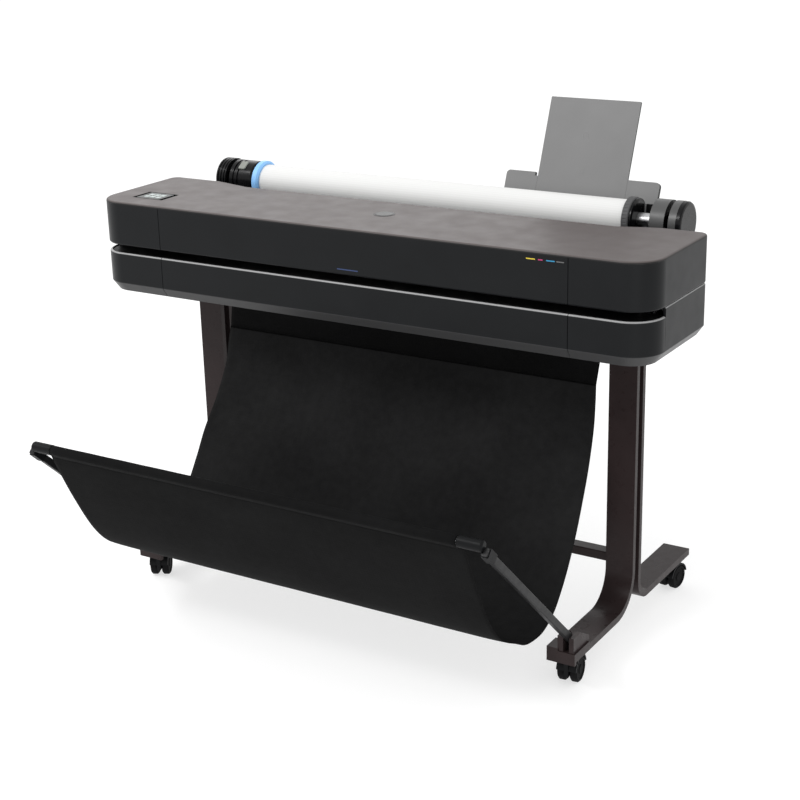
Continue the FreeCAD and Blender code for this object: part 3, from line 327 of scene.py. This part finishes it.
NODE_LOOKS = {
    CASING: ("base_tray", "lower_left_cover", "lower_front_cover", "ink_door",
             "upper_left_cover", "upper_front_cover", "upper_right_cover"),
    LID_TOP: ("top_cover",),
    PANEL: ("control_panel", "touch_screen"),
    GLOSS: ("spindle_shaft", "spindle_drum"),
    DARK: ("port_plate", "rear_cover", "roll_cradles", "platen", "print_carriage", "service_station",
           "ink_cartridges", "power_inlet"),
    FEEDER: ("sheet_feeder_tray", "sheet_feeder_extension"),
    BLUE: ("blue_flange",),
    RING: ("stop_ring",),
    PAPER: ("paper_roll",),
    STAND: ("left_front_leg", "right_front_leg", "left_rear_leg", "right_rear_leg",
            "stand_crossbar", "stand_top_plates", "bin_rear_rod", "bin_fork_brackets"),
    ARM: ("bin_arms",),
    CASTER: ("bin_elbows",) + tuple(
        f"{corner}_caster_hood" for corner in
        ("front_left", "front_right", "rear_left", "rear_right")),
    RUBBER: ("pinch_rollers", "carriage_belt") + tuple(
        f"{corner}_caster_wheels" for corner in
        ("front_left", "front_right", "rear_left", "rear_right")),
    STEEL: ("hinge_pins", "stand_screws", "side_frames", "drive_roller", "motor_pinion",
            "drive_motors", "carriage_rod", "power_supply"),
    ALUMINIUM: ("bin_bar", "chassis_beam", "drive_pulley", "idler_pulley"),
    CIRCUIT: ("main_board",),
}
for mat, names in NODE_LOOKS.items():
    for name in names:
        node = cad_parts[name]
        node.data.materials.clear()
        node.data.materials.append(mat)


# ---------------------------------------------------------------- mesh helpers

def piece(name, verts, faces, mat, body, smooth=True, uvs=None):
    """A mesh object that rides on a body. uvs is one (u, v) per vertex."""
    mesh = bpy.data.meshes.new(name)
    mesh.from_pydata([tuple(v) for v in verts], [], faces)
    if uvs is not None:
        layer = mesh.uv_layers.new(name="cloth")
        for loop in mesh.loops:
            layer.data[loop.index].uv = uvs[loop.vertex_index]
    for polygon in mesh.polygons:
        polygon.use_smooth = smooth
    mesh.materials.append(mat)
    obj = bpy.data.objects.new(name, mesh)
    scene.collection.objects.link(obj)
    if body:
        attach(obj, body)
    return obj


def rounded_outline(width, height, radius, steps=5):
    """Corners of a rounded rectangle about the origin, anticlockwise."""
    points = []
    for cx, cy, start in ((1, 1, 0), (-1, 1, 90), (-1, -1, 180), (1, -1, 270)):
        for k in range(steps + 1):
            angle = math.radians(start + 90 * k / steps)
            points.append((cx * (width / 2 - radius) + radius * math.cos(angle),
                           cy * (height / 2 - radius) + radius * math.sin(angle)))
    return points


def slab(name, outlines, thick, where, mat, body, soften=0.0):
    """Thin flat pieces of one thickness, raised along local Z and put in place by where."""
    bm = bmesh.new()
    for outline in outlines:
        face = bm.faces.new([bm.verts.new((x, y, 0)) for x, y in outline])
        top = bmesh.ops.extrude_face_region(bm, geom=[face])["geom"]
        lifted = [item for item in top if isinstance(item, bmesh.types.BMVert)]
        bmesh.ops.translate(bm, verts=lifted, vec=(0, 0, thick))
        if soften:
            rim = {edge for vert in lifted for edge in vert.link_edges
                   if all(end in lifted for end in edge.verts)}
            bmesh.ops.bevel(bm, geom=list(rim), offset=soften, segments=2, affect="EDGES")
    bmesh.ops.recalc_face_normals(bm, faces=bm.faces)
    mesh = bpy.data.meshes.new(name)
    bm.to_mesh(mesh)
    bm.free()
    mesh.transform(where)
    mesh.materials.append(mat)
    obj = bpy.data.objects.new(name, mesh)
    scene.collection.objects.link(obj)
    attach(obj, body)
    return obj


def moved(points, x, y):
    return [(px + x, py + y) for px, py in points]


def smooth_line(points, count):
    """count points evenly spaced on a smooth line through the given ones, with its length."""
    knots = [Vector(p) for p in points]
    knots = [2 * knots[0] - knots[1]] + knots + [2 * knots[-1] - knots[-2]]
    dense = []
    for a, b, c, d in zip(knots, knots[1:], knots[2:], knots[3:]):
        for k in range(24):
            t = k / 24
            dense.append(0.5 * (2 * b + (c - a) * t + (2 * a - 5 * b + 4 * c - d) * t ** 2
                                + (3 * b - a - 3 * c + d) * t ** 3))
    dense.append(knots[-2])
    marks = [0.0]
    for p, q in zip(dense, dense[1:]):
        marks.append(marks[-1] + (q - p).length)
    wanted = np.linspace(0, marks[-1], count)
    flat = np.array([tuple(p) for p in dense])
    line = np.stack([np.interp(wanted, marks, flat[:, k]) for k in range(flat.shape[1])], 1)
    return line, marks[-1]


# ---------------------------------------------------------------- catch bin

# The cloth's line from the seam of its rear hem, under the bin and up to the front bar:
# distance behind the front face, height and half width.
CLOTH_LINE = (
    (0.203, 0.548, 0.459), (0.195, 0.508, 0.462), (0.182, 0.455, 0.465), (0.148, 0.386, 0.471),
    (0.108, 0.325, 0.477), (0.078, 0.272, 0.479), (0.046, 0.222, 0.480), (0.014, 0.178, 0.480),
    (-0.024, 0.1395, 0.480), (-0.070, 0.119, 0.480), (-0.118, 0.1190, 0.480),
    (-0.150, 0.1265, 0.480), (-0.180, 0.1425, 0.480), (-0.240, 0.1765, 0.480),
    (-0.284, 0.226, 0.481), (-0.328, 0.304, 0.482), (-0.366, 0.384, 0.483),
    (-0.382, 0.4225, 0.483),
)
BAR = (FRONT - 0.386, 0.436)


def catch_cloth():
    """One sheet with shallow slack folds, free at its sides and held at both hems."""
    across, down = 121, 150
    line, length = smooth_line(CLOTH_LINE, down)
    verts, uvs, faces = [], [], []
    for j, (y, z, half) in enumerate(line):
        along = line[min(j + 1, down - 1)] - line[max(j - 1, 0)]
        normal = np.array([along[1], -along[0]])
        normal = normal / np.linalg.norm(normal)
        v = j / (down - 1)
        held = math.sin(math.pi * v) ** 0.6
        for i in range(across):
            u = 2 * i / (across - 1) - 1
            x = u * half
            slack = 0.25 + 0.75 * math.exp(-((v - 0.22) / 0.16) ** 2)
            fold = 0.0008 * math.sin(5.1 * u + 3.2 * v + 0.6) * math.sin(6.3 * v + 1.1)
            fold += 0.0005 * math.sin(12 * u - 6 * v) * math.sin(9 * v)
            fold += 0.0004 * math.sin(23 * u + 9 * v + 2.0)
            edge_curl = 0.002 * abs(u) ** 14
            push = held * (slack * fold + edge_curl)
            verts.append((x, FRONT + y + normal[0] * push, z + normal[1] * push))
            uvs.append((x, v * length))
    for j in range(down - 1):
        for i in range(across - 1):
            a = j * across + i
            faces.append((a, a + 1, a + across + 1, a + across))
    cloth = piece("catch_bin_cloth", verts, faces, CLOTH, None, uvs=uvs)
    thicken(cloth, 0.0012)
    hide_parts("bin_fabric_back", "bin_fabric_front")
    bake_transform(cloth)
    return cloth, length


def thicken(obj, thickness):
    solid = obj.modifiers.new("thickness", "SOLIDIFY")
    solid.thickness = thickness
    solid.offset = 0
    bpy.context.view_layer.update()
    with bpy.context.temp_override(object=obj, active_object=obj, selected_objects=[obj]):
        bpy.ops.object.modifier_apply(modifier=solid.name)


def sleeve(name, profile, half, body, wobble):
    """A hem: a closed loop of cloth run along X round a rod and sewn below it."""
    across = 97
    verts, uvs, faces = [], [], []
    count = len(profile)
    for i in range(across):
        u = 2 * i / (across - 1) - 1
        travelled = 0.0
        for k, (y, z) in enumerate(profile):
            shift = wobble * math.sin(31 * u + 0.9 * k) * math.sin(math.pi * k / (count - 1))
            verts.append((u * half, FRONT + y + shift, z))
            uvs.append((u * half, travelled))
            following = profile[min(k + 1, count - 1)]
            travelled += math.dist((y, z), following)
    for i in range(across - 1):
        for k in range(count - 1):
            a = i * count + k
            faces.append((a, a + 1, a + count + 1, a + count))
    hem = piece(name, verts, faces, HEM, body, uvs=uvs)
    thicken(hem, 0.0011)
    return hem


def loop_round(centre, radius, seam, gap):
    """The line of a hem from its seam, round a rod and back to the seam."""
    cy, cz = centre
    to_seam = math.atan2(seam[1] - cz, seam[0] - cy)
    arc = []
    for k in range(25):
        angle = to_seam + math.radians(75 + 210 * k / 24)
        arc.append((cy + radius * math.cos(angle), cz + radius * math.sin(angle)))
    side = Vector((seam[1] - cz, -(seam[0] - cy))).normalized() * gap
    start = (seam[0] - side.x, seam[1] - side.y)
    end = (seam[0] + side.x, seam[1] + side.y)
    return [start, *arc, end]


def stitches(name, y, z, half, rise, body):
    """A row of machine stitches along X."""
    verts, faces = [], []
    count = int(2 * half / 0.0062)
    for n in range(count):
        x = -half + 0.0062 * (n + 0.5)
        base = len(verts)
        for k in range(7):
            along = -0.0021 + 0.0042 * k / 6
            lift = 0.0006 * math.cos(math.pi * (k / 6 - 0.5))
            for m in range(4):
                angle = math.pi / 2 * m
                verts.append((x + along, y - lift + 0.0003 * math.cos(angle),
                              z + rise * along + 0.0003 * math.sin(angle)))
        for k in range(6):
            for m in range(4):
                a, b = base + 4 * k + m, base + 4 * k + (m + 1) % 4
                faces.append((a, b, b + 4, a + 4))
    return piece(name, verts, faces, THREAD, body,
                 uvs=[(v[0], v[2]) for v in verts])


cloth, cloth_length = catch_cloth()
rear_hem = sleeve("rear_hem", loop_round((0.225, 0.625), 0.0092, (0.203, 0.543), 0.0016),
                  0.458, "frame", 0.0012)
front_hem = sleeve("front_hem", loop_round((-0.386, 0.436), 0.0099, (-0.3835, 0.4215), 0.001),
                   0.4725, "bin_frame", 0.0003)
rear_stitches = stitches("rear_stitches", FRONT + 0.2015, 0.549, 0.455, 0, "frame")
front_stitches = stitches("front_stitches", FRONT - 0.3845, 0.4232, 0.469, 0, "bin_frame")


def shade_cord(name, y, z, half, radius, body):
    """A thin dark cord along the lower edge of a hem: painted shade standing in for the line of
    shadow under the hem's fold.
    """
    verts, faces = [], []
    for i in range(61):
        for m in range(6):
            angle = math.pi / 3 * m
            verts.append((half * (i / 30 - 1), y + radius * math.cos(angle),
                          z + radius * math.sin(angle)))
    for i in range(60):
        for m in range(6):
            a, b = 6 * i + m, 6 * i + (m + 1) % 6
            faces.append((a, b, b + 6, a + 6))
    return piece(name, verts, faces, HEM, body, uvs=[(v[0], v[2]) for v in verts])


# Dark cord under the rear hem: painted shade for the shadow line below the hem.
rear_shade_cord = shade_cord("rear_shade_cord", FRONT + 0.2010, 0.5445, 0.458, 0.0013, "frame")


# ---------------------------------------------------------------- marks and small parts

ON_LID = Matrix.Translation((0, FRONT, LID_HEIGHT))
ON_FRONT = Matrix.Translation((0, FRONT, 0)) @ Matrix.Rotation(math.pi / 2, 4, "X")

BADGE = moulded("badge_dark", (0.016, 0.0145, 0.0145), 0.3, 0.1, depth=0.00002)
SCREEN_EDGE = glowing("screen_edge", (0.007, 0.0095, 0.0085), 0.3)
SCREEN_LIT = glowing("screen_light", (0.36, 0.41, 0.40), 0.2)
SCREEN_DIM = glowing("screen_dim", (0.10, 0.115, 0.115), 0.25)
STATUS = glowing("status_blue", (0.012, 0.03, 0.10), 0.15)

ring = [rounded_outline(0.046, 0.046, 0.0229, 12)]
slab("lid_badge_ring", ring, 0.0006, ON_LID @ Matrix.Translation((0, 0.149, -0.0001)), BADGE,
     "lid", 0.0002)
slab("lid_badge_face", [rounded_outline(0.038, 0.038, 0.0189, 12)], 0.0009,
     ON_LID @ Matrix.Translation((0, 0.149, -0.0001)), GLOSS, "lid", 0.0003)

border = [moved(rounded_outline(0.064, 0.054, 0.003), -0.5555, 0.0855)]
slab("screen_border", border, 0.00015, ON_LID @ Matrix.Translation((0, 0, 0.0001)), SCREEN_EDGE,
     "lid")
tiles = [moved(rounded_outline(0.012, 0.012, 0.0015), -0.571 + 0.0155 * i, 0.0935 - 0.0165 * j)
         for i in range(3) for j in range(2)]
slab("screen_tiles", tiles, 0.0003, ON_LID @ Matrix.Translation((0, 0, 0.0002)), SCREEN_LIT,
     "lid")
bar = [moved(rounded_outline(0.052, 0.004, 0.001), -0.556, 0.1035)]
slab("screen_bar", bar, 0.0003, ON_LID @ Matrix.Translation((0, 0, 0.0002)), SCREEN_DIM,
     "lid")

INKS = (("yellow", (0.55, 0.42, 0.03), 0.405, 0.424),
        ("magenta", (0.42, 0.03, 0.13), 0.430, 0.440),
        ("cyan", (0.02, 0.22, 0.40), 0.447, 0.465), ("grey", (0.10, 0.10, 0.10), 0.468, 0.484))
for ink, colour, x0, x1 in INKS:
    mark = moulded(f"ink_mark_{ink}", colour, 0.4, 0.4, vary=0.03)
    outline = moved(rounded_outline(x1 - x0, 0.0022, 0.001), (x0 + x1) / 2, 0.847)
    slab(f"ink_mark_{ink}", [outline], 0.0003, ON_FRONT, mark, "lid")
slab("status_light", [moved(rounded_outline(0.05, 0.0022, 0.001), 0.003, 0.778)], 0.0003,
     ON_FRONT, STATUS, "lid")

# Feeder: raised guide lines and a plain page symbol on each plate.
ON_FEEDER = Matrix.Translation((0, FRONT + 0.444, 0.815)) @ Matrix.Rotation(
    math.pi / 2 - TILT, 4, "X")


def page_symbol(x, y, size):
    """The outline of a sheet of paper, open at its foot, with two short strips inside it, as flat
    strips.
    """
    w, t = size, size * 0.09
    strips = [moved(rounded_outline(w, t, t * 0.45), x, y + w * 0.7),
              moved(rounded_outline(t, w * 1.4, t * 0.45), x - w / 2 + t / 2, y),
              moved(rounded_outline(t, w * 1.4, t * 0.45), x + w / 2 - t / 2, y),
              moved(rounded_outline(w * 0.5, t, t * 0.45), x, y - w * 0.25),
              moved(rounded_outline(w * 0.5, t, t * 0.45), x, y + w * 0.15)]
    return strips


MARK = moulded("feeder_mark", (0.16, 0.16, 0.16), 0.4, 0.4)
slab("feeder_mark_upper", page_symbol(0.283, 0.182, 0.013), 0.0003,
     ON_FEEDER @ Matrix.Translation((0, 0, 0.003)), MARK, "feeder_extension")
slab("feeder_mark_lower", page_symbol(0.289, 0.105, 0.010), 0.0003,
     ON_FEEDER @ Matrix.Translation((0, 0, 0.003)), MARK, "feeder_extension")

# Light latch on the drum of the spindle, and the bare metal shaft between collar and hub.
AXIS = Matrix.Translation((0, FRONT + SPINDLE_BACK, SPINDLE_HEIGHT))
latch = [rounded_outline(0.019, 0.024, 0.004)]
slab("drum_latch", latch, 0.003, AXIS @ Matrix.Rotation(math.radians(34), 4, "X")
     @ Matrix.Translation((-0.527, 0, 0.0435)), LATCH, "spindle", 0.0008)


def tube(name, ends, radius, steps, mat):
    """An open tube about the spindle's axis."""
    circle = [math.tau * k / steps for k in range(steps)]
    verts = [(x, FRONT + SPINDLE_BACK + radius * math.cos(angle),
              SPINDLE_HEIGHT + radius * math.sin(angle)) for x in ends for angle in circle]
    faces = [(k, (k + 1) % steps, steps + (k + 1) % steps, steps + k) for k in range(steps)]
    piece(name, verts, faces, mat, "spindle")


# Grey bands on the two hubs: painted reflection of the light on the glossy black hubs.
tube("inner_hub_sheen", (0.4992, 0.5308), HUB_RADIUS, 96, HUB_SHEEN)
tube("outer_hub_sheen", (0.5402, 0.5560), HUB_RADIUS, 96, HUB_SHEEN)
tube("shaft_tube", (0.4594, 0.4988), SHAFT_RADIUS, 48, STEEL)


# ---------------------------------------------------------------- floor, light and camera

def look(azimuth, elevation, roll):
    """Right, up and back of a camera at these angles, in degrees."""
    a, e, r = (math.radians(angle) for angle in (azimuth, elevation, roll))
    back = Vector((math.sin(a) * math.cos(e), -math.cos(a) * math.cos(e), math.sin(e)))
    right = Vector((math.cos(a), math.sin(a), 0))
    up = back.cross(right)
    rolled_right = right * math.cos(r) + up * math.sin(r)
    rolled_up = up * math.cos(r) - right * math.sin(r)
    turn = Matrix((rolled_right, rolled_up, back)).transposed()
    return turn.to_4x4()


def ground(name, colour, glow, corners):
    """A flat matt surface of the studio, given by four corners."""
    mat, tree, bsdf = material(name, (colour, colour, colour), 0.9, 0.0)
    bsdf.inputs["Emission Color"].default_value = (1, 1, 1, 1)
    bsdf.inputs["Emission Strength"].default_value = glow
    tree.links.new(spread(tree, noise(tree, 3, 2), 0.86, 0.94), bsdf.inputs["Roughness"])
    mesh = bpy.data.meshes.new(name)
    mesh.from_pydata(corners, [], [(0, 1, 2, 3)])
    mesh.materials.append(mat)
    obj = bpy.data.objects.new(name, mesh)
    scene.collection.objects.link(obj)


def area_light(name, where, target, size, power):
    lamp = bpy.data.lights.new(name, "AREA")
    lamp.shape = "RECTANGLE"
    lamp.size, lamp.size_y = size
    lamp.energy = power
    obj = bpy.data.objects.new(name, lamp)
    scene.collection.objects.link(obj)
    obj.location = where
    obj.rotation_euler = (Vector(target) - Vector(where)).to_track_quat("-Z", "Y").to_euler()


ground("studio_floor", 0.46, 0.62, ((-14, -14, 0), (14, -14, 0), (14, 14, 0), (-14, 14, 0)))
area_light("key_light", (-1.6, -2.4, 3.6), (0, 0, 0.5), (3.2, 0.5), 95)
area_light("front_light", (2.9, -3.3, 1.1), (0, 0, 0.6), (1.6, 1.6), 15)
area_light("rear_light", (-2.2, 3.0, 2.4), (-0.3, 0.1, 0.8), (2.2, 1.4), 12)

world = bpy.data.worlds.new("studio")
world.use_nodes = True
world.node_tree.nodes["Background"].inputs["Color"].default_value = (1, 1, 1, 1)
world.node_tree.nodes["Background"].inputs["Strength"].default_value = 1.0
scene.world = world
scene.view_settings.view_transform = "Standard"

lens = bpy.data.cameras.new("camera")
lens.lens = 73.45
lens.sensor_width = 36
lens.clip_end = 60
camera = bpy.data.objects.new("camera", lens)
scene.collection.objects.link(camera)
camera.matrix_world = Matrix.Translation((1.77355, FRONT - 2.6438, 1.59534)) @ look(
    32.03, 19.01, -1.46)
scene.camera = camera
